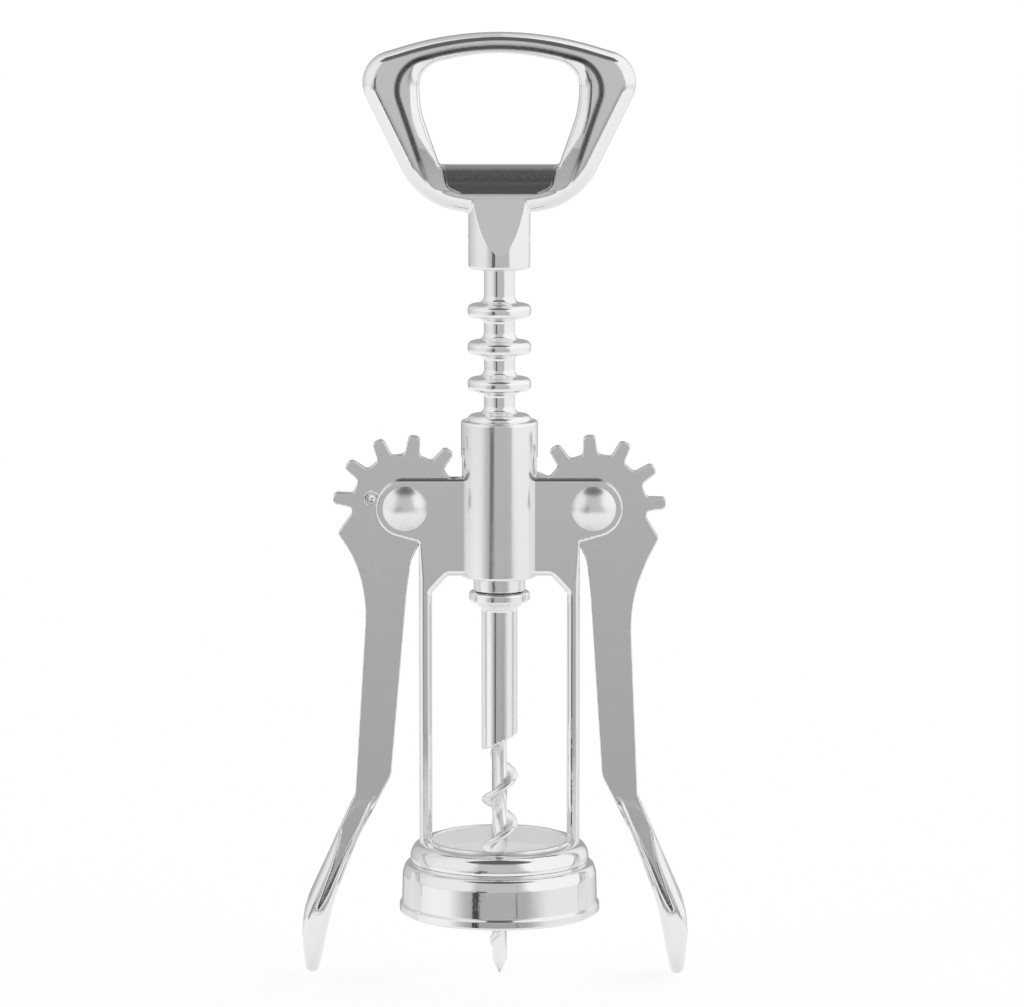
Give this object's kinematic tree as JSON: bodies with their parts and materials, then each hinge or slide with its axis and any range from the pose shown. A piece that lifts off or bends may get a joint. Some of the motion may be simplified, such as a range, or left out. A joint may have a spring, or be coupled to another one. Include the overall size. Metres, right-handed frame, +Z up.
{
  "type": "lever corkscrew",
  "caption": "Wing corkscrew: geared levers lift a ringed rack, and a worm with a cap-opener handle turns inside it.",
  "frame": {"origin": "centre of the seat inside the bell, in the plane that touches the bottle's mouth", "axes": "+Z up along the worm to the handle, +X to the right lever, -Y to the front"},
  "size_m": [0.0737, 0.0382, 0.1805],
  "materials": {
    "cast_chrome": "polished chrome plate on die castings",
    "lever_chrome": "chrome plate over slightly duller lever faces",
    "turned_chrome": "bright chrome plate on turned parts",
    "worm_steel": "plated steel, fine drawn finish"
  },
  "bodies": {
    "frame": {"bell": "cast_chrome", "barrel": "turned_chrome", "left_upright": "cast_chrome", "right_upright": "cast_chrome", "left_rivet": "turned_chrome", "right_rivet": "turned_chrome"},
    "rack": {"rack_spindle": "turned_chrome"},
    "screw": {"spindle_rod": "turned_chrome", "worm": "worm_steel", "thrust_collar": "turned_chrome", "handle": "cast_chrome", "handle_pin": "worm_steel"},
    "left_lever": {"left_lever": "lever_chrome"},
    "right_lever": {"right_lever": "lever_chrome"}
  },
  "joints": [
    {"name": "rack_slide", "type": "slide", "parent": "frame", "child": "rack", "axis": [0, 0, 1], "range_m": [-0.028, 0.001]},
    {"name": "screw_spin", "type": "hinge", "parent": "rack", "child": "screw", "pos_m": [0, 0, 0], "axis": [0, 0, 1], "continuous": true},
    {"name": "left_lever_swing", "type": "hinge", "parent": "frame", "child": "left_lever", "pos_m": [-0.0179, 0, 0.0676], "axis": [0, 1, 0], "range_deg": [-4.5, 120.5]},
    {"name": "right_lever_swing", "type": "hinge", "parent": "frame", "child": "right_lever", "pos_m": [0.0179, 0, 0.0676], "axis": [0, -1, 0], "range_deg": [-4.5, 120.5]}
  ],
  "couplings": [
    {"joint": "left_lever_swing", "follows": "rack_slide", "rad_per_m": -74.8},
    {"joint": "right_lever_swing", "follows": "rack_slide", "rad_per_m": -74.8}
  ]
}
